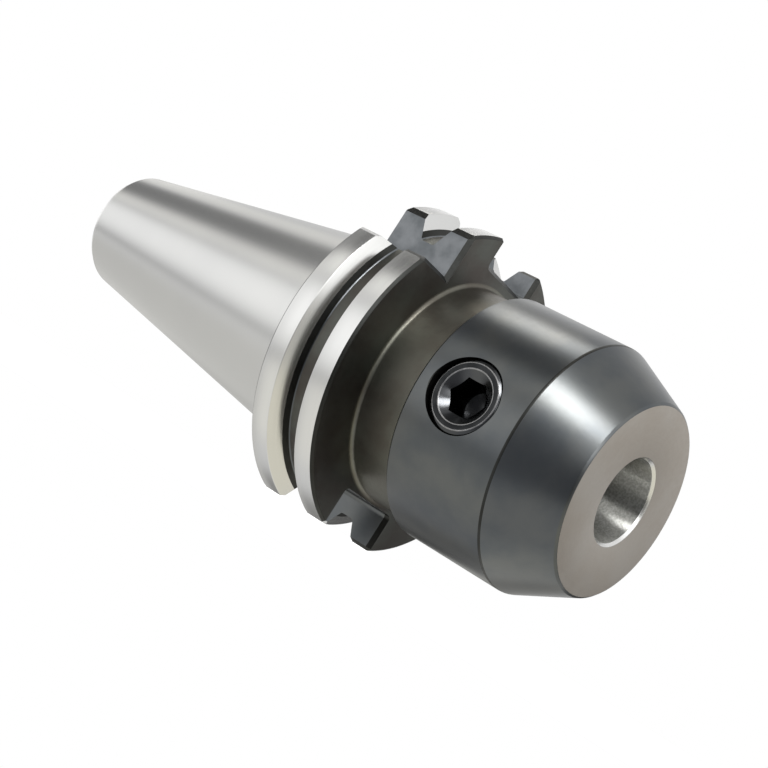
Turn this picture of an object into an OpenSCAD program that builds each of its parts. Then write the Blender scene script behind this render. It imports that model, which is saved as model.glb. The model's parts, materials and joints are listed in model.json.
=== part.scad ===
// Side lock end mill holder on a steep taper shank.
// The spindle axis is X and the nose points to +X. The origin is the centre of the gauge circle.
// The holder lies on the two edges of its lower drive slot, so +Z runs through the upper one.

/* [Taper shank] */
// Diameter of the gauge circle
gauge_d = 44.45; // [43.5:0.05:45.5]
// Length from the gauge circle to the small end
shank_l = 68.4; // [64:0.2:72]
// Chamfer round the small end
shank_chamfer = 1.2; // [0.5:0.1:2]
// Depth of the relief between the shank and the flange, from the gauge circle's radius
relief_depth = 0.7; // [0.4:0.1:1.2]
// Length of the ground band in front of the gauge circle
gauge_land = 0.8; // [0.4:0.1:1.2]

/* [Pull stud hole] */
// Diameter of the pilot bore that centres the pull stud
pilot_d = 17; // [16.5:0.1:17.8]
// Depth of the pilot bore
pilot_depth = 8.2; // [6:0.1:10]
// Core diameter of the threaded hole
stud_core_d = 14; // [13:0.1:14.8]
// Depth of the threaded hole from the small end
stud_hole_depth = 42.5; // [36:0.5:46]
// Chamfer at the pilot bore's mouth
pilot_chamfer = 0.8; // [0.3:0.1:1.4]

/* [Flange] */
// Outer diameter of the flange
flange_d = 63.55; // [61.5:0.05:65]
// Distance from the gauge circle to the flange's back face
flange_back = 3.2; // [2.6:0.1:3.8]
// Distance from the gauge circle to the flange's front face
flange_front = 19.1; // [18:0.1:20.5]
// Distance from the gauge circle to the middle of the gripper groove
groove_x = 11.1; // [10.6:0.1:11.6]
// Diameter at the root of the gripper groove
groove_root_d = 56.25; // [55:0.05:58]
// Width of the flat root of the gripper groove
groove_root_w = 2.9; // [2:0.1:3.6]
// Angle between the flanks of the gripper groove
groove_angle = 60; // [50:1:64]
// Chamfer on the rims of the flange
rim_chamfer = 0.5; // [0.2:0.1:0.9]

/* [Drive slots] */
// Width of both drive slots
slot_w = 16.1; // [14:0.1:17]
// Distance from the spindle axis to the upper slot's floor
upper_floor = 25; // [24:0.1:26.5]
// Distance from the spindle axis to the lower slot's floor
lower_floor = 22.8; // [22.6:0.1:24.5]
// Radius in the corners of the slots
slot_corner = 1; // [0.4:0.1:1.6]
// Chamfer on the edges of the slots and the notch
slot_chamfer = 0.8; // [0.4:0.1:1]

/* [Orientation notch] */
// Distance from the spindle axis to the root of the notch
notch_root = 25; // [24.4:0.1:27]
// Angle between the flanks of the notch
notch_angle = 90; // [80:1:96]
// Turn of the notch from the upper slot towards the clamp screw
notch_turn = 45; // [42:1:48]

/* [Neck and nose] */
// Diameter of the neck in front of the flange
neck_d = 44; // [42:0.1:45]
// Fillet between the neck and the flange
neck_fillet = 0.8; // [0.4:0.1:1.2]
// Diameter of the nose body
body_d = 48; // [46.5:0.1:52]
// Distance from the gauge circle to the back of the nose body
body_back = 29.2; // [26:0.1:30.5]
// Chamfer at the back of the nose body
body_chamfer = 0.5; // [0.2:0.1:0.9]
// Length of the nose body before its cone
body_l = 21.8; // [20:0.1:24]
// Distance from the gauge circle to the nose face
nose_x = 63; // [61:0.5:68]
// Diameter of the flat nose face
face_d = 36.2; // [34:0.1:40]
// Bevel between the cone and the nose face
face_bevel = 0.4; // [0.2:0.1:0.8]

/* [Tool bore] */
// Diameter of the tool bore
bore_d = 16; // [14:0.5:17]
// Depth of the tool bore
bore_depth = 49; // [44:0.5:52]
// Chamfer at the bore's mouth
bore_chamfer = 0.5; // [0.3:0.1:1]
// Diameter of the coolant passage between the tool bore and the pull stud hole
coolant_d = 8; // [5:0.5:10]

/* [Clamp screw] */
// Thread diameter of the clamp screw
screw_d = 14; // [12:0.5:15]
// Length of the clamp screw
screw_l = 15.6; // [14.5:0.1:15.8]
// Distance from the nose face back to the screw's axis
screw_inset = 24; // [22:0.5:26]
// Depth of the screw's head end under the nose body, when it is backed off the tool
screw_sunk = 0.2; // [0.1:0.1:0.4]
// Chamfer round the head end
head_chamfer = 1.8; // [1:0.1:2]
// Chamfer round the tip
tip_chamfer = 1.2; // [0.6:0.1:2]
// Width of the hexagon socket across its flats
socket_af = 8; // [6:0.5:8.5]
// Depth of the hexagon socket
socket_depth = 6.5; // [5:0.1:8]
// Countersink round the mouth of the screw hole
hole_chamfer = 0.3; // [0.1:0.1:0.6]
// Play between the screw and its hole, all round
screw_play = 0.1; // [0.05:0.05:0.2]

/* [Hidden] */
$fn = 96;
// Steep taper: 7 in diameter for every 24 of length
taper_rate = 7 / 24;
// Cutters run this far past the faces that they cut
past = 1;
// Angle of a drill point
drill_point = 118;
gauge_r = gauge_d / 2;
flange_r = flange_d / 2;
neck_r = neck_d / 2;
body_r = body_d / 2;
bore_r = bore_d / 2;
screw_r = screw_d / 2;
shank_end_r = (gauge_d - shank_l * taper_rate) / 2;
relief_r = gauge_r - relief_depth;
groove_depth = (flange_d - groove_root_d) / 2;
groove_mouth_w = groove_root_w + 2 * groove_depth * tan(groove_angle / 2);
cone_x = body_back + body_l;
bore_end = nose_x - bore_depth;
stud_hole_end = stud_hole_depth - shank_l;
screw_x = nose_x - screw_inset;
hole_r = screw_r + screw_play;
screw_top = body_r - screw_sunk;
socket_r = socket_af / sqrt(3);

// Points of a quarter turn from angle a to angle b about a centre
function arc(centre, r, a, b, steps = 5) =
    [for (i = [0:steps]) centre + r * [cos(a + (b - a) * i / steps), sin(a + (b - a) * i / steps)]];

// Depth of a drill point under a hole of diameter d
function point_depth(d) = d / 2 / tan(drill_point / 2);

// A point past b on the line from a
function beyond(a, b) = b + (b - a) / norm(b - a) * past;

// A point on the flange's rim, by its angle from the Z axis
function on_rim(angle) = flange_r * [sin(angle), cos(angle)];

// The same outline seen from the other side
function flipped(points) = [for (i = [len(points) - 1:-1:0]) [-points[i][0], points[i][1]]];

// A solid turned about the spindle axis from an outline of [station along X, radius]
module turned(outline) {
    rotate([0, 90, 0])
        rotate_extrude()
            polygon([for (p = outline) [p[1], p[0]]]);
}

// A prism along X from an outline of [Y, Z]
module along_x(from, to, outline) {
    translate([from, 0, 0])
        rotate([90, 0, 90])
            linear_extrude(to - from)
                polygon(outline);
}

// Outside of the shank, from the axis at the small end to the relief at the flange
function shank_outline() = [
    [-shank_l, 0],
    [-shank_l, shank_end_r - shank_chamfer / 2],
    [-shank_l + shank_chamfer, shank_end_r + shank_chamfer * taper_rate / 2],
    [0, gauge_r],
    [gauge_land, gauge_r],
    [gauge_land + relief_depth, relief_r]
];

// Outside of the flange, with the gripper groove between its two rims
function flange_outline() = [
    [flange_back, relief_r],
    [flange_back, flange_r - rim_chamfer],
    [flange_back + rim_chamfer, flange_r],
    [groove_x - groove_mouth_w / 2, flange_r],
    [groove_x - groove_root_w / 2, groove_root_d / 2],
    [groove_x + groove_root_w / 2, groove_root_d / 2],
    [groove_x + groove_mouth_w / 2, flange_r],
    [flange_front - rim_chamfer, flange_r],
    [flange_front, flange_r - rim_chamfer]
];

// Outside of the neck, the nose body and its cone, back to the axis at the nose face
function nose_outline() = concat(
    arc([flange_front + neck_fillet, neck_r + neck_fillet], neck_fillet, 180, 270),
    [
        [body_back, neck_r],
        [body_back, body_r - body_chamfer],
        [body_back + body_chamfer, body_r],
        [cone_x, body_r],
        [nose_x - face_bevel, face_d / 2 + face_bevel],
        [nose_x, face_d / 2],
        [nose_x, 0]
    ]
);

// Bores along the spindle axis: pull stud hole, coolant passage and tool bore
module axial_bores() {
    turned([
        [-shank_l - past, 0],
        [-shank_l - past, pilot_d / 2 + pilot_chamfer + past],
        [-shank_l + pilot_chamfer, pilot_d / 2],
        [-shank_l + pilot_depth, pilot_d / 2],
        [-shank_l + pilot_depth, stud_core_d / 2],
        [stud_hole_end, stud_core_d / 2],
        [stud_hole_end + point_depth(stud_core_d - coolant_d), coolant_d / 2],
        [bore_end - point_depth(bore_d - coolant_d), coolant_d / 2],
        [bore_end, bore_r],
        [nose_x - bore_chamfer, bore_r],
        [nose_x + past, bore_r + bore_chamfer + past],
        [nose_x + past, 0]
    ]);
}

// Half of a cut's open side in [Y, Z]: a flank from its foot up to the rim, with the edge there broken
function open_flank(foot, edge_angle) =
    let (
        edge = on_rim(edge_angle),
        low = edge + (foot - edge) / norm(foot - edge) * slot_chamfer,
        high = on_rim(edge_angle + slot_chamfer / flange_r * 180 / PI)
    )
    [low, beyond(low, high), [0, flange_r + 2 * past]];

// Half outline of a drive slot, from the middle of its floor to its open side
function slot_half(floor_z) =
    let (half = slot_w / 2)
    concat(
        [[0, floor_z]],
        arc([half - slot_corner, floor_z + slot_corner], slot_corner, 270, 360),
        open_flank([half, floor_z], asin(half / flange_r))
    );

// Angle at which a flank of the notch meets the rim, by the sine rule
function notch_edge_angle() =
    let (half_angle = notch_angle / 2)
    half_angle - asin(notch_root * sin(half_angle) / flange_r);

// Chamfer along one edge of a cut in the flange's front face, running up Z from its foot
module front_edge_break(foot, height) {
    translate([flange_front, 0, foot])
        linear_extrude(height)
            polygon([[-slot_chamfer, past], [-slot_chamfer, 0], [past, -slot_chamfer - past], [past, past]]);
}

// Drive slot open to +Z, with its edges broken at the front face
module drive_slot(floor_z) {
    half = slot_w / 2;
    outline = slot_half(floor_z);
    along_x(flange_back - past, flange_front + past, concat(outline, flipped(outline)));
    for (side = [0, 1])
        mirror([0, side, 0])
            translate([0, -half, 0])
                front_edge_break(floor_z, flange_r + past - floor_z);
    // The floor's own edge
    translate([0, -half, floor_z])
        rotate([-90, 0, 0])
            mirror([0, 1, 0])
                front_edge_break(0, slot_w);
}

// Orientation notch open to +Z, with its edges broken at the front face
module orientation_notch() {
    outline = concat([[0, notch_root]], open_flank([0, notch_root], notch_edge_angle()));
    along_x(flange_back - past, flange_front + past, concat(outline, flipped(outline)));
    for (side = [0, 1])
        mirror([0, side, 0])
            translate([0, 0, notch_root])
                rotate([notch_angle / 2, 0, 0])
                    front_edge_break(0, flange_r - notch_root + past);
}

// Tapped hole for the clamp screw, from the nose body into the tool bore
module screw_hole() {
    translate([screw_x, 0, 0])
        rotate([90, 0, 0])
            rotate_extrude()
                polygon([
                    [0, 0],
                    [hole_r, 0],
                    [hole_r, body_r - hole_chamfer],
                    [hole_r + hole_chamfer + past, body_r + past],
                    [0, body_r + past]
                ]);
}

module holder_body() {
    color("#7d8183")
        difference() {
            turned(concat(shank_outline(), flange_outline(), nose_outline()));
            axial_bores();
            drive_slot(upper_floor);
            mirror([0, 0, 1])
                drive_slot(lower_floor);
            rotate([notch_turn, 0, 0])
                orientation_notch();
            screw_hole();
        }
}

// Set screw with a hexagon socket, at the place where it leaves the tool bore free
module clamp_screw() {
    color("#26282a")
        translate([screw_x, 0, 0])
            rotate([90, 0, 0])
                difference() {
                    rotate_extrude()
                        polygon([
                            [0, screw_top - screw_l],
                            [screw_r - tip_chamfer, screw_top - screw_l],
                            [screw_r, screw_top - screw_l + tip_chamfer],
                            [screw_r, screw_top - head_chamfer],
                            [screw_r - head_chamfer, screw_top],
                            [0, screw_top]
                        ]);
                    translate([0, 0, screw_top - socket_depth])
                        cylinder(r = socket_r, h = socket_depth + past, $fn = 6);
                    translate([0, 0, screw_top - socket_depth - point_depth(socket_af)])
                        cylinder(r1 = 0, r2 = socket_af / 2, h = point_depth(socket_af));
                }
}

holder_body();
clamp_screw();
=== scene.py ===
import json
from math import asin, ceil, cos, hypot, pi, radians, sin, sqrt, tan

import bmesh
import bpy
from mathutils import Matrix, Vector


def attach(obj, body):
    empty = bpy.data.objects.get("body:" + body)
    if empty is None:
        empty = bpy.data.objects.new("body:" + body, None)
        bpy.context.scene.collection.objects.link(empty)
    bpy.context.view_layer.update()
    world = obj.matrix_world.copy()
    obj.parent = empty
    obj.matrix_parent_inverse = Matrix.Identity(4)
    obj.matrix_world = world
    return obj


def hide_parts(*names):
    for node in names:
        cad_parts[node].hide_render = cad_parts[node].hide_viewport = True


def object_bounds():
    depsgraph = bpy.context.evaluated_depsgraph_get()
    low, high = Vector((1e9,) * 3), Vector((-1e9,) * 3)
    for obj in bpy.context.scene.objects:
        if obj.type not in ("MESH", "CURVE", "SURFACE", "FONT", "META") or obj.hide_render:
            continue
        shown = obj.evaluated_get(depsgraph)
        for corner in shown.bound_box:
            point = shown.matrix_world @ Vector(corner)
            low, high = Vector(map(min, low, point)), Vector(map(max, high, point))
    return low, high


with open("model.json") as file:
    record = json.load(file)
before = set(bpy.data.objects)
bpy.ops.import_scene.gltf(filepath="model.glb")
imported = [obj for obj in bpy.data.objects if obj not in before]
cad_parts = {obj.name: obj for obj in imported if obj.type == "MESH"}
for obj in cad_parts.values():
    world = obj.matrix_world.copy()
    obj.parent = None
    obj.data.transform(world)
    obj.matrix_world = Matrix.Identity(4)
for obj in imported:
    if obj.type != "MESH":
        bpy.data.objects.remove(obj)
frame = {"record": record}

cad_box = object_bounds()

# The holder is modelled in millimetres and brought to metres at the end.
# The spindle axis is X, the nose points to +X and the gauge circle lies at the origin.
MM = 0.001
MOUNTS = {m["name"]: m for m in frame["record"]["mounts"]}
TAPER_RATE = 7 / 24

# Shank
GAUGE_R = 22.225
SHANK_L = 68.4
SHANK_END_R = GAUGE_R - SHANK_L * TAPER_RATE / 2
SHANK_CHAMFER = 1.2
GAUGE_LAND = 0.8
RELIEF = 0.7

# Pull stud hole and coolant passage
PILOT_R = MOUNTS["pull_stud_pilot"]["dims"]["r_mm"]
PILOT_DEPTH = 8.2
PILOT_CHAMFER = 0.8
STUD_CORE_R = MOUNTS["pull_stud_thread"]["dims"]["r_mm"]
STUD_THREAD_R = 8
STUD_HOLE_DEPTH = 42.5
STUD_THREAD_DEPTH = 38
COOLANT_R = 4
DRILL_POINT = radians(118)

# Flange
FLANGE_R = min(-cad_box[0].y, cad_box[1].y) / MM
FLANGE_BACK = 3.2
FLANGE_FRONT = 19.1
RIM_CHAMFER = 0.5
GROOVE_X = 11.1
GROOVE_ROOT_R = 28.125
GROOVE_ROOT_W = 2.9
GROOVE_HALF_ANGLE = radians(30)
GROUND_FLANK_R = 29.3
SLOT_HALF_W = 8.05
UPPER_FLOOR = 25
LOWER_FLOOR = 22.8
SLOT_CORNER = 1
SLOT_CHAMFER = 0.8
NOTCH_ROOT = 25
NOTCH_TURN = radians(45)

# Neck and nose
NECK_R = 22
NECK_FILLET = 0.8
BODY_R = 24
BODY_BACK = 29.2
BODY_CHAMFER = 0.5
CONE_X = 51
CONE_ROUND = 1.2
CONE_EDGE_SLOPE = (0.02, 0.42)
NOSE_X = 63
FACE_R = 18.1
FACE_BEVEL = 0.4
BORE_R = MOUNTS["tool_bore"]["dims"]["r_mm"]
BORE_CHAMFER = 0.5
BORE_DEPTH = 49

# Clamp screw and its tapped hole, by distance from the spindle axis
SCREW_X = 39
SCREW_R = 7
SCREW_TOP = 23.2
SCREW_L = 15
HEAD_R = 6.1
HEAD_SLOPE = radians(33)
HEAD_EDGE = 0.5
HEAD_DISH = radians(6)
HEAD_COLLAR = 0.95
TIP_CHAMFER = 1.2
SOCKET_HALF_W = 3.3
SOCKET_CORNER_R = SOCKET_HALF_W / cos(pi / 6)
SOCKET_DEPTH = 7
SOCKET_MOUTH_R = 5.05
SOCKET_MOUTH_SLOPE = radians(34)
HOLE_R = 7.1
HOLE_CHAMFER = 0.15
HOLE_THREAD_TOP = 20
PITCH = 2
THREAD_DEPTH = 1.1
THREAD_CREST = 0.3
THREAD_FLANK = radians(30)

# Modelling: steps of a full turn, how fine an arc is, the usual edge rounding,
# how far a cutter reaches past a face, and the distance under which points are one
TURN_STEPS = 256
SCREW_STEPS = 120
THREAD_STEPS = 72
CORNER_STEPS = 6
ARC_STEP = radians(18)
SMOOTH_ANGLE = radians(28)
EDGE = 0.12
PAST = 1
MERGE = 0.001

# How squarely a face looks one way, from 0 for sideways to 1 for straight
RIM_FACING = 0.98
SLOT_FACING = 0.97
SQUARE_FACING = 0.9
FLANK_FACING = 0.8
CHAMFER_FACING = 0.5
TILTED_FACING = 0.3
SIDE_FACING = 0.1

# How far under the rim's radius a face still counts as the rim
RIM_SKIN = 0.3

# Surface texture: the grain's scale per metre, how finely each noise is detailed,
# and the part of a noise's range that is used
GRAIN_SCALE = 1500
GRAIN_DETAIL = 1.0
RING_DETAIL = 3.0
MOTTLE_DETAIL = 4.0
NOISE_RANGE = (0.3, 0.7)

# Camera: sensor, lens and the eye's place in millimetres, nearest depth in metres, angles in degrees
SENSOR_W = 36
LENS = 81.69
CLIP_START = 0.01
EYE = (195.28, -267.41, -30.3)
VIEW_AZIMUTH = 35.08
VIEW_ELEVATION = -4.873
VIEW_TILT = 32.628

# Lamps: azimuth and elevation in degrees, distance and side in metres, and radiance
KEY_LAMP = (25, 41, 0.6, 0.18, 16.5)
SIDE_LAMP = (-104, 63, 0.6, 0.17, 5.2)
WARM = (1.0, 0.96, 0.9)

# Floor: side in metres, grey, and glow towards the camera
FLOOR_SIDE = 8
FLOOR_GREY = 0.8
FLOOR_GLOW = 0.45


def corner(point, before, after, radius):
    """The points of an arc that rounds one corner of an outline."""
    p, a, b = Vector(point), Vector(before), Vector(after)
    u, v = (a - p).normalized(), (b - p).normalized()
    half = u.angle(v) / 2
    reach = radius / tan(half)
    centre = p + (u + v).normalized() * radius / sin(half)
    start, end = p + u * reach - centre, p + v * reach - centre
    turn = start.angle_signed(end)
    steps = max(2, ceil(abs(turn) / ARC_STEP))
    return [tuple(centre + Matrix.Rotation(-turn * i / steps, 2) @ start) for i in range(steps + 1)]


def rounded(outline):
    """An outline's points (station, radius), with a corner arc where a third value gives its radius."""
    points = []
    for i, entry in enumerate(outline):
        if len(entry) == 2:
            points.append(entry)
            continue
        after = outline[(i + 1) % len(outline)]
        points += corner(entry[:2], outline[i - 1][:2], after[:2], entry[2])
    return points


def start_piece(name):
    """Names the primitive that was just added, puts its object at the origin and opens it for editing."""
    piece = bpy.context.object
    piece.name = name
    piece.data.name = name
    bpy.ops.object.transform_apply(location=True, rotation=True, scale=True)
    bpy.ops.object.mode_set(mode="EDIT")
    bpy.ops.mesh.select_mode(type="VERT")
    bpy.ops.mesh.select_all(action="SELECT")
    return piece


def select(piece, kind, test):
    """In edit mode, selects only the vertices, edges or faces whose place passes the test."""
    bpy.ops.mesh.select_mode(type={"verts": "VERT", "edges": "EDGE", "faces": "FACE"}[kind])
    bpy.ops.mesh.select_all(action="DESELECT")
    mesh = bmesh.from_edit_mesh(piece.data)
    for item in getattr(mesh, kind):
        if test(item):
            item.select_set(True)
    mesh.select_flush_mode()
    bmesh.update_edit_mesh(piece.data)


def drawn(name, points):
    """Draws a chain of (station, radius) points by extruding one vertex, and selects it all."""
    bpy.ops.object.select_all(action="DESELECT")
    bpy.ops.mesh.primitive_plane_add(size=1, location=(points[0][0], 0, points[0][1]))
    piece = start_piece(name)
    bpy.ops.mesh.merge(type="CENTER")
    for (x0, r0), (x1, r1) in zip(points, points[1:]):
        bpy.ops.mesh.extrude_region_move(TRANSFORM_OT_translate={"value": (x1 - x0, 0, r1 - r0)})
    bpy.ops.mesh.select_all(action="SELECT")
    return piece


def turned(name, outline, steps=TURN_STEPS):
    """Spins an outline of (station, radius) about the X axis; it is closed unless it ends on the axis."""
    points = rounded(outline)
    if points[0][1] > 0:
        points = points + points[:1]
    piece = drawn(name, points)
    bpy.ops.mesh.spin(steps=steps, angle=2 * pi, center=(0, 0, 0), axis=(1, 0, 0))
    bpy.ops.mesh.select_all(action="SELECT")
    bpy.ops.mesh.remove_doubles(threshold=MERGE)
    bpy.ops.mesh.normals_make_consistent(inside=False)
    bpy.ops.object.mode_set(mode="OBJECT")
    return piece


def activate(piece):
    bpy.ops.object.select_all(action="DESELECT")
    piece.select_set(True)
    bpy.context.view_layer.objects.active = piece


def combine(piece, other, operation):
    """Applies an exact boolean of another shape, which is then removed."""
    activate(piece)
    bpy.ops.object.modifier_add(type="BOOLEAN")
    modifier = piece.modifiers[-1]
    modifier.operation = operation
    modifier.solver = "EXACT"
    modifier.object = other
    bpy.ops.object.modifier_apply(modifier=modifier.name)
    bpy.data.objects.remove(other)


def place(piece, turn=0, axis="X", move=(0, 0, 0), scale=1):
    """Scales, turns and moves a piece, and leaves its object at the origin."""
    activate(piece)
    piece.matrix_world = Matrix.Translation(move) @ Matrix.Rotation(turn, 4, axis) @ Matrix.Scale(scale, 4)
    bpy.ops.object.transform_apply(location=True, rotation=True, scale=True)


def finished(piece, *materials):
    """Brings a piece to metres, smooths its shading and gives it its material slots."""
    place(piece, scale=MM)
    bpy.ops.object.shade_smooth_by_angle(angle=SMOOTH_ANGLE)
    for material in materials:
        piece.data.materials.append(material)
    return piece


def holder_outline():
    """Closed outline of the holder: outside from the small end to the nose, and back through its bores."""
    slant = tan(GROOVE_HALF_ANGLE)
    mouth_half = GROOVE_ROOT_W / 2 + (FLANGE_R - GROOVE_ROOT_R) * slant
    ground_half = GROOVE_ROOT_W / 2 + (GROUND_FLANK_R - GROOVE_ROOT_R) * slant
    relief_r = GAUGE_R - RELIEF
    bore_end = NOSE_X - BORE_DEPTH
    stud_end = STUD_HOLE_DEPTH - SHANK_L
    thread_end = STUD_THREAD_DEPTH - SHANK_L
    slope = tan(DRILL_POINT / 2)
    return [
        (-SHANK_L, PILOT_R + PILOT_CHAMFER, EDGE),
        (-SHANK_L, SHANK_END_R - SHANK_CHAMFER / 2, 2 * EDGE),
        (-SHANK_L + SHANK_CHAMFER, SHANK_END_R + SHANK_CHAMFER * TAPER_RATE / 2, 2 * EDGE),
        (0, GAUGE_R),
        (GAUGE_LAND, GAUGE_R, EDGE),
        (GAUGE_LAND + RELIEF, relief_r, 2 * EDGE),
        (FLANGE_BACK, relief_r, 3 * EDGE),
        (FLANGE_BACK, FLANGE_R - RIM_CHAMFER, EDGE),
        (FLANGE_BACK + RIM_CHAMFER, FLANGE_R, EDGE),
        (GROOVE_X - mouth_half, FLANGE_R, EDGE),
        (GROOVE_X - ground_half, GROUND_FLANK_R),
        (GROOVE_X - GROOVE_ROOT_W / 2, GROOVE_ROOT_R, 3 * EDGE),
        (GROOVE_X + GROOVE_ROOT_W / 2, GROOVE_ROOT_R, 3 * EDGE),
        (GROOVE_X + mouth_half, FLANGE_R, EDGE),
        (FLANGE_FRONT - RIM_CHAMFER, FLANGE_R, EDGE),
        (FLANGE_FRONT, FLANGE_R - RIM_CHAMFER, EDGE),
        (FLANGE_FRONT, NECK_R, NECK_FILLET),
        (BODY_BACK, NECK_R, 2 * EDGE),
        (BODY_BACK, BODY_R - BODY_CHAMFER, EDGE),
        (BODY_BACK + BODY_CHAMFER, BODY_R, EDGE),
        (CONE_X, BODY_R, CONE_ROUND),
        (NOSE_X - FACE_BEVEL, FACE_R + FACE_BEVEL, EDGE),
        (NOSE_X, FACE_R, EDGE),
        (NOSE_X, BORE_R + BORE_CHAMFER, EDGE / 2),
        (NOSE_X - BORE_CHAMFER, BORE_R, EDGE / 2),
        (bore_end, BORE_R),
        (bore_end - (BORE_R - COOLANT_R) / slope, COOLANT_R),
        (stud_end + (STUD_CORE_R - COOLANT_R) / slope, COOLANT_R),
        (stud_end, STUD_CORE_R),
        (thread_end, STUD_CORE_R),
        (thread_end - PITCH / 2, STUD_THREAD_R),
        (-SHANK_L + PILOT_DEPTH, STUD_THREAD_R),
        (-SHANK_L + PILOT_DEPTH, PILOT_R),
        (-SHANK_L + PILOT_CHAMFER, PILOT_R, EDGE),
    ]


def box(name, low, high):
    """A cube, moved and stretched in edit mode to run from one corner to the other."""
    centre = (Vector(low) + Vector(high)) / 2
    bpy.ops.object.select_all(action="DESELECT")
    bpy.ops.mesh.primitive_cube_add(size=1)
    piece = start_piece(name)
    bpy.ops.transform.resize(value=Vector(high) - Vector(low), center_override=(0, 0, 0))
    bpy.ops.transform.translate(value=centre)
    return piece


def spread(piece, test, move, scale, centre):
    """Extrudes the selected faces by a move and scales the new end about a centre."""
    select(piece, "faces", test)
    bpy.ops.mesh.extrude_region_move(TRANSFORM_OT_translate={"value": move})
    bpy.ops.transform.resize(value=scale, center_override=centre)


def is_front(face):
    return face.normal.x > SQUARE_FACING


def is_top(face):
    return face.normal.z > SQUARE_FACING


def break_rim(piece, top, half, edge_angle):
    """Opens a cutter outwards at the rim, for the chamfer of the edge there, and takes it past the rim."""
    chamfer = FLANGE_R * Vector((sin(edge_angle), cos(edge_angle))) - Vector((half, top))
    step = chamfer * (1 + PAST / chamfer.length)
    spread(piece, is_top, (0, 0, step.y), (1, (half + step.x) / half, 1), (0, 0, 0))
    spread(piece, is_top, (0, 0, 2 * PAST), (1, 1, 1), (0, 0, 0))


def slot_cutter(name, floor, breaks_floor):
    """The space of a drive slot, open to +Z, with its corners rounded and its edges broken."""
    edge_angle = asin(SLOT_HALF_W / FLANGE_R)
    top = FLANGE_R * cos(edge_angle) - SLOT_CHAMFER
    front = FLANGE_FRONT - SLOT_CHAMFER
    piece = box(name, (FLANGE_BACK - PAST, -SLOT_HALF_W, floor), (front, SLOT_HALF_W, top))
    select(piece, "edges", lambda e: e.verts[0].co.z + e.verts[1].co.z < 2 * floor + MERGE
           and abs(e.verts[0].co.x - e.verts[1].co.x) > PAST)
    bpy.ops.mesh.bevel(offset=SLOT_CORNER, segments=CORNER_STEPS)
    # The front end widens by the chamfer, also past the front face
    reach = SLOT_CHAMFER + PAST / 2
    wider = 1 + reach / SLOT_HALF_W
    deeper = 1 + reach / (top - floor) if breaks_floor else 1
    spread(piece, is_front, (reach, 0, 0), (1, wider, deeper), (0, 0, top))
    break_rim(piece, top, SLOT_HALF_W, edge_angle + SLOT_CHAMFER / FLANGE_R)
    bpy.ops.object.mode_set(mode="OBJECT")
    return piece


def notch_cutter(name):
    """The space of the orientation notch, open to +Z, with its edges broken."""
    edge_angle = pi / 4 - asin(NOTCH_ROOT * sin(pi / 4) / FLANGE_R)
    half = FLANGE_R * sin(edge_angle) - SLOT_CHAMFER * sin(pi / 4)
    top = NOTCH_ROOT + half
    front = FLANGE_FRONT - SLOT_CHAMFER
    piece = box(name, (FLANGE_BACK - PAST, -half, NOTCH_ROOT), (front, half, top))
    select(piece, "verts", lambda v: v.co.z < NOTCH_ROOT + MERGE)
    bpy.ops.transform.resize(value=(1, 0, 1), center_override=(0, 0, 0))
    bpy.ops.mesh.select_all(action="SELECT")
    bpy.ops.mesh.remove_doubles(threshold=MERGE)
    reach = SLOT_CHAMFER + PAST / 2
    wider = 1 + reach * sqrt(2) / half
    spread(piece, is_front, (reach, 0, 0), (1, wider, wider), (0, 0, top))
    break_rim(piece, top, half, edge_angle + SLOT_CHAMFER / FLANGE_R)
    bpy.ops.object.mode_set(mode="OBJECT")
    return piece


def to_screw(piece):
    """Turns a piece made along +X out to the clamp screw's side and moves it to the screw's axis."""
    place(piece, -pi / 2, "Z", (SCREW_X, 0, 0))
    return piece


def hole_cutter(name):
    """The plain wall of the clamp screw's hole, from the bore's axis out, with its countersink."""
    return to_screw(turned(name, [
        (0, 0),
        (0, HOLE_R),
        (BODY_R - HOLE_CHAMFER, HOLE_R),
        (BODY_R + PAST, HOLE_R + HOLE_CHAMFER + PAST),
        (BODY_R + PAST, 0),
    ], SCREW_STEPS))


def holder():
    """The holder: turned, then cut with its two drive slots, its notch and the clamp screw's hole."""
    piece = turned("turned_holder", holder_outline())
    upper = slot_cutter("upper_slot_cut", UPPER_FLOOR, True)
    lower = slot_cutter("lower_slot_cut", LOWER_FLOOR, False)
    place(lower, pi)
    notch = notch_cutter("notch_cut")
    place(notch, NOTCH_TURN)
    for cutter in (upper, lower, notch, hole_cutter("screw_hole_cut")):
        combine(piece, cutter, "DIFFERENCE")
    return piece


def thread_ridge(name, root_r, crest_r, start, turns):
    """A helical ridge about the X axis, from a four-sided outline and a Screw modifier."""
    crest_half = THREAD_CREST / 2
    root_half = crest_half + abs(crest_r - root_r) * tan(THREAD_FLANK)
    outline = [(-root_half, root_r), (-crest_half, crest_r), (crest_half, crest_r), (root_half, root_r)]
    piece = drawn(name, [(start + x, r) for x, r in outline + outline[:1]])
    bpy.ops.mesh.remove_doubles(threshold=MERGE)
    bpy.ops.object.mode_set(mode="OBJECT")
    bpy.ops.object.modifier_add(type="SCREW")
    modifier = piece.modifiers[-1]
    modifier.axis = "X"
    modifier.screw_offset = PITCH
    modifier.iterations = turns
    modifier.steps = THREAD_STEPS
    modifier.render_steps = THREAD_STEPS
    bpy.ops.object.modifier_apply(modifier=modifier.name)
    bpy.ops.object.mode_set(mode="EDIT")
    select(piece, "edges", lambda e: e.is_boundary)
    bpy.ops.mesh.edge_face_add()
    bpy.ops.mesh.select_all(action="SELECT")
    bpy.ops.mesh.normals_make_consistent(inside=False)
    # The ridge's four-sided faces are twisted, and a boolean needs flat ones
    bpy.ops.mesh.quads_convert_to_tris()
    bpy.ops.object.mode_set(mode="OBJECT")
    return piece


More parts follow.
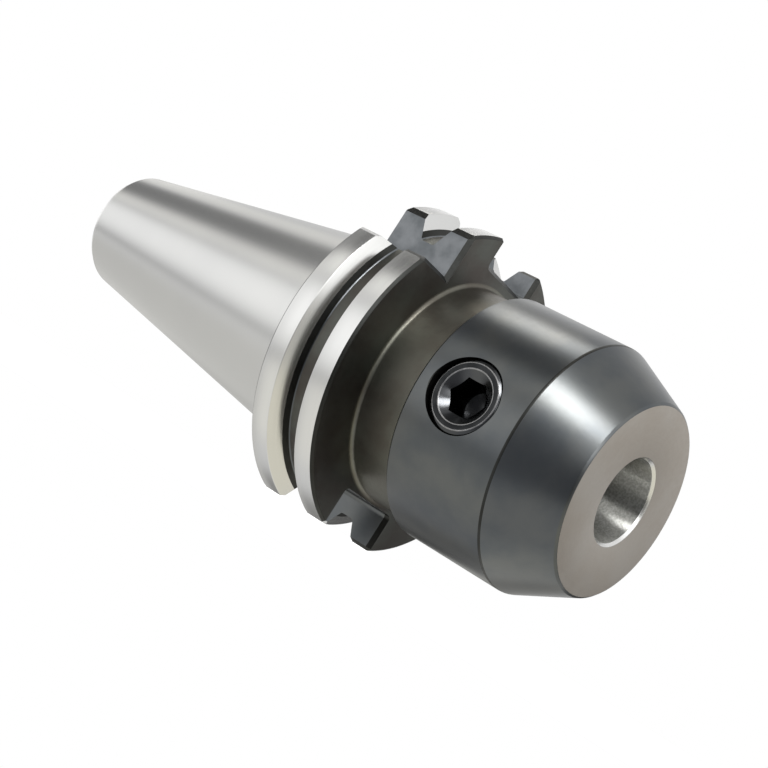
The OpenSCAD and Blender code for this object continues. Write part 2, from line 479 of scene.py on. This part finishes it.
def screw_blank():
    """The outer form of the clamp screw, with its dished head and the countersink of its socket."""
    tip = SCREW_TOP - SCREW_L
    mouth = SCREW_TOP - (HEAD_R - SOCKET_MOUTH_R) * tan(HEAD_DISH)
    return turned("screw_blank", [
        (tip, 0),
        (tip, SCREW_R - TIP_CHAMFER, EDGE),
        (tip + TIP_CHAMFER, SCREW_R),
        (SCREW_TOP - (SCREW_R - HEAD_R) * tan(HEAD_SLOPE), SCREW_R, EDGE),
        (SCREW_TOP, HEAD_R, HEAD_EDGE),
        (mouth, SOCKET_MOUTH_R, HEAD_EDGE),
        (mouth - SOCKET_MOUTH_R * tan(SOCKET_MOUTH_SLOPE), 0),
    ], SCREW_STEPS)


def key_space():
    """The space of the screw's socket: a hexagon and its drill point."""
    bottom = SCREW_TOP - SOCKET_DEPTH
    bpy.ops.object.select_all(action="DESELECT")
    bpy.ops.mesh.primitive_cylinder_add(vertices=6, radius=SOCKET_CORNER_R, depth=SOCKET_DEPTH + PAST)
    piece = start_piece("key_space")
    bpy.ops.object.mode_set(mode="OBJECT")
    place(piece, pi / 2, "Y", ((bottom + SCREW_TOP + PAST) / 2, 0, 0))
    point = turned("drill_point", [
        (bottom - SOCKET_HALF_W / tan(DRILL_POINT / 2), 0),
        (bottom, SOCKET_HALF_W - EDGE),
        (bottom + PAST, SOCKET_HALF_W - EDGE),
        (bottom + PAST, 0),
    ], SCREW_STEPS)
    combine(piece, point, "UNION")
    return piece


def clamp_screw():
    """The clamp screw: core, collar and thread, trimmed to its outer form and cut with its socket."""
    core_r = SCREW_R - THREAD_DEPTH
    tip = SCREW_TOP - SCREW_L
    low, high = tip - 2 * PITCH, SCREW_TOP + 3 * PITCH
    collar = SCREW_TOP - HEAD_COLLAR
    turns = ceil(SCREW_L / PITCH) + 1
    piece = turned("socket_screw", [
        (low, 0),
        (low, core_r),
        (collar, core_r),
        (collar, SCREW_R + EDGE),
        (high, SCREW_R + EDGE),
        (high, 0),
    ], SCREW_STEPS)
    ridge = thread_ridge("screw_ridge", core_r - EDGE, SCREW_R - EDGE / 4, tip - PITCH, turns)
    combine(piece, ridge, "UNION")
    combine(piece, screw_blank(), "INTERSECT")
    combine(piece, key_space(), "DIFFERENCE")
    # Closes the hairline seams that the booleans leave where the thread runs out
    bpy.ops.object.mode_set(mode="EDIT")
    bpy.ops.mesh.select_all(action="SELECT")
    bpy.ops.mesh.remove_doubles(threshold=MERGE)
    bpy.ops.mesh.fill_holes(sides=0)
    bpy.ops.object.mode_set(mode="OBJECT")
    return to_screw(piece)


def hole_thread():
    """The hole's thread, half a pitch from the screw's own, cut off below the nose and at the bore."""
    start = SCREW_TOP - SCREW_L - PITCH * 1.5
    turns = ceil((BODY_R - BORE_R) / PITCH) + 2
    crest_r = SCREW_R - THREAD_DEPTH + EDGE
    piece = to_screw(thread_ridge("screw_hole_thread", HOLE_R + EDGE / 2, crest_r, start, turns))
    wall = turned("nose_wall", [
        (BODY_BACK, BORE_R + EDGE),
        (BODY_BACK, HOLE_THREAD_TOP),
        (CONE_X, HOLE_THREAD_TOP),
        (CONE_X, BORE_R + EDGE),
    ])
    combine(piece, wall, "INTERSECT")
    return piece


def stud_thread():
    """The thread in the pull stud hole."""
    start = -SHANK_L + PILOT_DEPTH + PITCH / 2
    turns = int((STUD_THREAD_DEPTH - PILOT_DEPTH) / PITCH) - 1
    return thread_ridge("pull_stud_thread", STUD_THREAD_R + EDGE / 2, STUD_CORE_R, start, turns)


class Nodes:
    """Short names for building a node tree."""

    def __init__(self, tree):
        self.tree = tree
        tree.nodes.clear()

    def add(self, kind, **settings):
        node = self.tree.nodes.new("ShaderNode" + kind)
        for name, value in settings.items():
            setattr(node, name, value)
        return node

    def feed(self, socket, value):
        """Links an output to a socket, or sets the socket to a plain value."""
        if hasattr(value, "links"):
            self.tree.links.new(value, socket)
        else:
            socket.default_value = value

    def math(self, operation, *values):
        node = self.add("Math", operation=operation)
        for socket, value in zip(node.inputs, values):
            self.feed(socket, value)
        return node.outputs[0]

    def fit(self, value, low, high, new_low=0.0, new_high=1.0):
        """Maps a value from one range to another, with soft ends."""
        node = self.add("MapRange", interpolation_type="SMOOTHSTEP")
        for socket, number in zip(node.inputs, (value, low, high, new_low, new_high)):
            self.feed(socket, number)
        return node.outputs["Result"]

    def mix(self, factor, a, b):
        node = self.add("Mix", data_type="RGBA")
        for socket, value in zip((node.inputs[0], node.inputs[6], node.inputs[7]), (factor, a, b)):
            self.feed(socket, value)
        return node.outputs[2]

    def noise(self, vector, scale, detail):
        node = self.add("TexNoise")
        self.feed(node.inputs["Vector"], vector)
        self.feed(node.inputs["Scale"], scale)
        self.feed(node.inputs["Detail"], detail)
        return node.outputs["Fac"]

    def parts(self, vector):
        node = self.add("SeparateXYZ")
        self.feed(node.inputs[0], vector)
        return node.outputs

    def rings(self, vector, per_metre):
        """Uneven turning lines: they run round the spindle axis on a wall, and are circles on a face."""
        x, y, z = self.parts(vector)
        radius = self.math("SQRT", self.math("MULTIPLY_ADD", z, z, self.math("MULTIPLY", y, y)))
        node = self.add("TexNoise", noise_dimensions="1D")
        self.feed(node.inputs["W"], self.math("ADD", x, radius))
        self.feed(node.inputs["Scale"], per_metre)
        self.feed(node.inputs["Detail"], RING_DETAIL)
        return node.outputs["Fac"]


def grey(level, tint=(1, 1, 1)):
    return tuple(level * t for t in tint) + (1,)


def metal(name, dark, light, roughness, lines, depth, grain=0.0, mottle=40, anisotropic=0.0, turn=0.0):
    """A metal mottled between two colours, with turning lines and grain in its gloss and its bump.

    Lines and mottle are per metre, depth is the bump's in millimetres, and grain is the share of the
    relief that isn't lines.
    """
    material = bpy.data.materials.new(name)
    material.use_nodes = True
    n = Nodes(material.node_tree)
    place_on = n.add("TexCoord").outputs["Object"]
    ring = n.math("MULTIPLY", n.rings(place_on, lines), 1 - grain)
    gloss = n.math("MULTIPLY_ADD", n.noise(place_on, GRAIN_SCALE, GRAIN_DETAIL), grain, ring)
    cloud = n.fit(n.noise(place_on, mottle, MOTTLE_DETAIL), *NOISE_RANGE)
    shader = n.add("BsdfPrincipled")
    n.feed(shader.inputs["Metallic"], 1.0)
    n.feed(shader.inputs["Base Color"], n.mix(cloud, dark, light))
    n.feed(shader.inputs["Roughness"], n.fit(gloss, *NOISE_RANGE, *roughness))
    if anisotropic:
        n.feed(shader.inputs["Anisotropic"], anisotropic)
        n.feed(shader.inputs["Anisotropic Rotation"], turn)
        n.feed(shader.inputs["Tangent"], n.add("Tangent", direction_type="RADIAL", axis="X").outputs[0])
    bump = n.add("Bump")
    n.feed(bump.inputs["Distance"], depth * MM)
    n.feed(bump.inputs["Height"], gloss)
    n.feed(shader.inputs["Normal"], bump.outputs[0])
    n.feed(n.add("OutputMaterial").inputs["Surface"], shader.outputs[0])
    return material


GROUND, OXIDE, BROWN, FACE, BORE, DARK, SLOT, NECK = range(8)


def holder_zone(face):
    """Which finish a face of the holder has, by where it lies and which way it looks; the darkest oxide is
    also painted shade, and the upper slot's lighter oxide is painted light.
    """
    c, n = face.calc_center_median() / MM, face.normal
    r = hypot(c.y, c.z)
    outward = (n.y * c.y + n.z * c.z) / r
    in_flange = FLANGE_BACK < c.x < FLANGE_FRONT
    on_rim = in_flange and outward > RIM_FACING and r > FLANGE_R - RIM_SKIN
    on_rear_flank = (FLANGE_BACK + RIM_CHAMFER < c.x < GROOVE_X - GROOVE_ROOT_W / 2
                     and r > GROUND_FLANK_R and outward > TILTED_FACING and n.x > 0)
    if c.x < FLANGE_BACK - MERGE or on_rim or on_rear_flank:
        return GROUND
    if r < BORE_R + BORE_CHAMFER and outward < SIDE_FACING and c.x > NOSE_X - BORE_DEPTH - PAST:
        return GROUND if n.x > CHAMFER_FACING else BORE
    if c.x > NOSE_X - MERGE and n.x > SQUARE_FACING:
        return FACE
    # In the screw hole the darkest oxide is painted shade in the recess; at the groove's flank foot it is
    # the real black oxide, darkened further as painted shade
    in_screw_hole = (hypot(c.x - SCREW_X, c.z) < HOLE_R + HOLE_CHAMFER
                     and c.y < 0 and abs(outward) < SQUARE_FACING)
    at_flank_foot = (in_flange and GROOVE_ROOT_R < r < GROUND_FLANK_R
                     and c.x < GROOVE_X and n.x > FLANK_FACING)
    if in_screw_hole or at_flank_foot:
        return DARK
    # The front chamfers and the rounded edge between body and cone get the darkest oxide as painted shade,
    # which draws a dark line along the cone's edge
    at_front_edge = FLANGE_FRONT - SLOT_CHAMFER < c.x < FLANGE_FRONT - MERGE and r < FLANGE_R - RIM_CHAMFER
    at_cone_edge = abs(c.x - CONE_X) < CONE_ROUND and CONE_EDGE_SLOPE[0] < n.x < CONE_EDGE_SLOPE[1]
    if at_front_edge or at_cone_edge:
        return DARK
    in_slot = (in_flange and abs(n.x) < FLANK_FACING
               and (outward < SLOT_FACING or r < GROOVE_ROOT_R - RIM_CHAMFER))
    # The slots' chamfers at the rim get the darkest oxide as painted shade
    if in_slot and r > FLANGE_R - SLOT_CHAMFER:
        return DARK
    # Only the upper slot's faces get the lighter slot oxide, as painted light; the lower slot keeps the
    # plain oxide
    if in_slot:
        return SLOT if c.z > 0 else OXIDE
    if FLANGE_FRONT + MERGE < c.x < BODY_BACK - MERGE:
        return NECK
    if c.x < BODY_BACK - MERGE and r < FLANGE_R - RIM_CHAMFER:
        return BROWN
    return OXIDE


BLACK, RING, WORN = range(3)
SLOPE_MARGIN = radians(1)


def screw_zone(face):
    """Which finish a face of the clamp screw has: ring and socket are dark, the socket's darkness painted
    shade, and the ring's edges worn.
    """
    c, facing = face.calc_center_median() / MM, -face.normal.y
    if -c.y < SCREW_TOP - HEAD_COLLAR and hypot(c.x - SCREW_X, c.z) < SOCKET_CORNER_R:
        return RING
    if -c.y < SCREW_TOP - HEAD_EDGE or facing < cos(HEAD_SLOPE - SLOPE_MARGIN):
        return BLACK
    return RING if facing > cos(HEAD_DISH + SLOPE_MARGIN) else WORN


def dress(piece, zone_of):
    """Gives a piece's faces the finishes that their zones name."""
    activate(piece)
    bpy.ops.object.mode_set(mode="EDIT")
    for zone in range(1, len(piece.data.materials)):
        select(piece, "faces", lambda f: zone_of(f) == zone)
        piece.active_material_index = zone
        bpy.ops.object.material_slot_assign()
    bpy.ops.object.mode_set(mode="OBJECT")


def towards(azimuth, elevation):
    """Unit vector from the holder, by azimuth from -Y towards +X and elevation, in degrees."""
    a, e = radians(azimuth), radians(elevation)
    return Vector((sin(a) * cos(e), -cos(a) * cos(e), sin(e)))


# The light tent's strips, each placed by the surface that mirrors it to the photograph's viewpoint:
# angle of that surface round the axis from -Y towards +Z, half width and blur in degrees,
# least and greatest slope of that surface towards +X, level, and warmth.
# A later strip covers an earlier one.
TENT_LEVEL = 0.93
SLOPE_BLUR = 0.04
TENT_STRIPS = (
    (-33, 11, 12, -0.07, 0.22, 1.12, 0.05),
    (-80, 10, 12, -0.07, 0.22, 0.32, 0.03),
    (-97, 12, 8, -0.07, 0.22, 0.05, 0),
    (-55, 24, 10, -1.1, -0.07, 0.8, 0.03),
    (-72, 3, 8, -1.1, -0.07, 0.66, 0.03),
    (-2.5, 4, 12, -0.07, 0.22, 1.62, 0),
    (-2.5, 4, 12, -1.1, -0.07, 1.38, 0),
    (-18.5, 1.2, 2, -1.1, 0.22, 0.55, 0),
    (11.5, 1.5, 3, -1.1, 0.22, 0.75, 0),
    (18.5, 3, 3.5, -0.07, 0.22, 1.35, 0.03),
    (16, 2.5, 4, -1.1, -0.07, 1.1, 0.03),
    (30, 5, 9, -1.1, -0.07, 0.26, 0),
    (31.5, 7, 3, -0.07, 0.22, 0.2, 0),
    (50, 3, 5, -0.07, 0.22, 1.12, 0.04),
    (47, 4, 5, -1.1, -0.07, 1.0, 0.03),
    (64, 10, 6, -1.1, -0.07, 0.75, 0),
    (60, 3, 6, -0.07, 0.22, 0.72, 0),
    (77, 5, 10, -1.1, 0.22, 1.1, 0),
    (-8, 11, 9, 0.22, 0.68, 0.38, -0.05),
    (-75, 15, 12, 0.22, 0.68, 1.3, 0.05),
    (-102, 14, 10, 0.28, 0.6, 0.5, 0.05),
    (-50, 25, 10, 0.68, 0.95, 1.0, 0.14),
    (-5, 12, 10, 0.68, 0.95, 0.65, 0.06),
    (24, 14, 6, 0.68, 0.95, 1.65, 0),
    (60, 14, 8, 0.68, 0.95, 1.15, 0),
    (-125, 28, 10, 0.68, 0.95, 0.12, 0),
    (-10, 12, 3, 0.55, 0.77, 0.08, 0),
    (12.5, 8, 3, 0.55, 0.77, 4, 0),
    (0, 180, 1, 0.95, 1.1, 0.95, 0),
    (-90, 75, 15, 0.92, 1.1, 0.28, 0),
)


def studio_world():
    """White to the camera; to everything else a pale light tent with lighter and darker strips."""
    world = bpy.data.worlds.new("studio")
    bpy.context.scene.world = world
    world.use_nodes = True
    n = Nodes(world.node_tree)
    halfway = n.add("VectorMath", operation="ADD")
    n.feed(halfway.inputs[0], n.add("TexCoord").outputs["Generated"])
    n.feed(halfway.inputs[1], towards(VIEW_AZIMUTH, VIEW_ELEVATION))
    surface = n.add("VectorMath", operation="NORMALIZE")
    n.feed(surface.inputs[0], halfway.outputs[0])
    slope, y, z = n.parts(surface.outputs[0])
    around = n.math("ARCTAN2", z, n.math("MULTIPLY", y, -1))
    tent = grey(TENT_LEVEL)
    for middle, half, blur, low, high, level, warmth in TENT_STRIPS:
        off = n.math("ABSOLUTE", n.math("WRAP", n.math("SUBTRACT", around, radians(middle)), pi, -pi))
        share = n.fit(off, radians(half + blur), radians(half))
        for end, blur_end in ((low, SLOPE_BLUR), (high, -SLOPE_BLUR)):
            share = n.math("MULTIPLY", share, n.fit(slope, end - blur_end, end + blur_end))
        tent = n.mix(share, tent, grey(level, (1 + warmth / 4, 1, 1 - warmth)))
    seen = n.mix(n.add("LightPath").outputs["Is Camera Ray"], tent, grey(1.0))
    background = n.add("Background")
    n.feed(background.inputs["Color"], seen)
    n.feed(n.add("OutputWorld").inputs["Surface"], background.outputs[0])


def softbox(name, azimuth, elevation, distance, size, radiance, tint=(1, 1, 1)):
    """A square lamp that faces the holder, with its power worked out from how bright its face is."""
    data = bpy.data.lights.new(name, "AREA")
    data.color = tint
    data.size = size
    data.energy = radiance * pi * size ** 2
    lamp = bpy.data.objects.new(name, data)
    bpy.context.scene.collection.objects.link(lamp)
    back = towards(azimuth, elevation)
    lamp.location = back * distance
    lamp.rotation_euler = back.to_track_quat("Z", "Y").to_euler()


def studio_floor():
    """A pale floor that keeps the shadow, and through which metal mirrors the light tent."""
    bpy.ops.object.select_all(action="DESELECT")
    bpy.ops.mesh.primitive_plane_add(size=FLOOR_SIDE, location=(0, 0, cad_box[0].z))
    floor = bpy.context.object
    floor.name = "studio_floor"
    bpy.ops.object.transform_apply(location=True, rotation=True, scale=True)
    material = bpy.data.materials.new("pale_floor")
    material.use_nodes = True
    n = Nodes(material.node_tree)
    rays = n.add("LightPath").outputs
    diffuse = n.add("BsdfDiffuse")
    n.feed(diffuse.inputs["Color"], grey(FLOOR_GREY))
    glow = n.add("Emission")
    n.feed(glow.inputs["Strength"], n.math("MULTIPLY", rays["Is Camera Ray"], FLOOR_GLOW))
    lit = n.add("AddShader")
    n.feed(lit.inputs[0], diffuse.outputs[0])
    n.feed(lit.inputs[1], glow.outputs[0])
    blend = n.add("MixShader")
    n.feed(blend.inputs[0], n.math("MAXIMUM", rays["Is Glossy Ray"], rays["Is Transmission Ray"]))
    n.feed(blend.inputs[1], lit.outputs[0])
    n.feed(blend.inputs[2], n.add("BsdfTransparent").outputs[0])
    n.feed(n.add("OutputMaterial").inputs["Surface"], blend.outputs[0])
    floor.data.materials.append(material)


def camera():
    """The photograph's viewpoint: where the eye is, which way it looks and how the picture is tilted."""
    data = bpy.data.cameras.new("camera")
    data.sensor_width = SENSOR_W
    data.lens = LENS
    data.clip_start = CLIP_START
    view = bpy.data.objects.new("camera", data)
    bpy.context.scene.collection.objects.link(view)
    azimuth, elevation, tilt = radians(VIEW_AZIMUTH), radians(VIEW_ELEVATION), radians(VIEW_TILT)
    aim = Matrix.Rotation(azimuth, 3, "Z") @ Matrix.Rotation(pi / 2 - elevation, 3, "X")
    view.rotation_euler = (aim @ Matrix.Rotation(tilt, 3, "Z")).to_euler()
    view.location = Vector(EYE) * MM
    bpy.context.scene.camera = view


def holder_finishes():
    """The holder's materials, in the order of its zones."""
    return (
        metal("ground_steel", grey(0.56, (1, 1, 0.99)), grey(0.6, (1, 1, 0.98)), (0.2, 0.26),
              lines=4000, depth=0.0001, mottle=25, anisotropic=0.45),
        metal("black_oxide", grey(0.09, (0.92, 1, 1.07)), grey(0.115, (0.96, 1, 0.99)), (0.285, 0.305),
              lines=1500, depth=0.0001, grain=0.6, mottle=110),
        metal("brown_oxide", grey(0.066, (1.12, 1, 0.9)), grey(0.1, (0.96, 1, 0.9)), (0.36, 0.43),
              lines=2000, depth=0.0004, grain=0.6, mottle=110),
        metal("bare_face", grey(0.36, (1.1, 1, 0.88)), grey(0.4, (1.07, 1, 0.91)), (0.42, 0.5),
              lines=2500, depth=0.0004, grain=0.6, mottle=90),
        metal("bored_steel", grey(0.38, (1.0, 1, 0.93)), grey(0.58, (1.0, 1, 0.96)), (0.34, 0.4),
              lines=9000, depth=0.02, grain=0.35, mottle=2600, anisotropic=1.0, turn=0.25),
        # The darkest oxide: real black oxide at the groove's flank foot, and painted shade in the screw
        # hole, its thread, the front and rim chamfers and the cone's edge
        metal("dark_oxide", grey(0.03, (1.0, 1, 0.92)), grey(0.04, (0.97, 1, 0.95)), (0.35, 0.45),
              lines=2000, depth=0.0004, grain=0.5, mottle=200),
        # Lighter, bluer oxide of the slot faces, given only to the upper slot: painted light
        metal("slot_oxide", grey(0.12, (0.93, 1, 1.06)), grey(0.19, (0.95, 1, 1.05)), (0.3, 0.4),
              lines=2000, depth=0.0004, grain=0.6, mottle=260),
        metal("neck_oxide", grey(0.09, (1.1, 1, 0.84)), grey(0.14, (1.0, 1, 0.84)), (0.36, 0.43),
              lines=2000, depth=0.0004, grain=0.6, mottle=110),
    )


def screw_finishes():
    """The clamp screw's materials, in the order of its zones."""
    return (
        metal("screw_black", grey(0.055, (0.95, 1, 1.06)), grey(0.075, (0.97, 1, 1.04)), (0.16, 0.22),
              lines=3000, depth=0.0001, grain=0.5),
        # Darkest screw finish: on the head's flat ring, and inside the socket as painted shade
        metal("screw_ring", grey(0.018, (0.95, 1, 1.06)), grey(0.03, (0.97, 1, 1.04)), (0.2, 0.3),
              lines=3000, depth=0.0001, grain=0.5, mottle=300),
        metal("worn_edge", grey(0.2), grey(0.3), (0.25, 0.35),
              lines=3000, depth=0.0001, grain=0.5, mottle=900),
    )


def main():
    bpy.context.scene.view_settings.view_transform = "Standard"
    camera()
    studio_world()
    studio_floor()
    softbox("key_softbox", *KEY_LAMP)
    softbox("side_softbox", *SIDE_LAMP, WARM)

    finishes = holder_finishes()
    body = finished(holder(), *finishes)
    dress(body, holder_zone)
    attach(body, "holder")
    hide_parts("holder_body")

    screw = finished(clamp_screw(), *screw_finishes())
    dress(screw, screw_zone)
    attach(screw, "screw")
    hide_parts("clamp_screw")

    # The hole's thread gets the darkest oxide as painted shade
    for piece in (finished(hole_thread(), finishes[DARK]), finished(stud_thread(), finishes[GROUND])):
        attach(piece, "holder")


main()
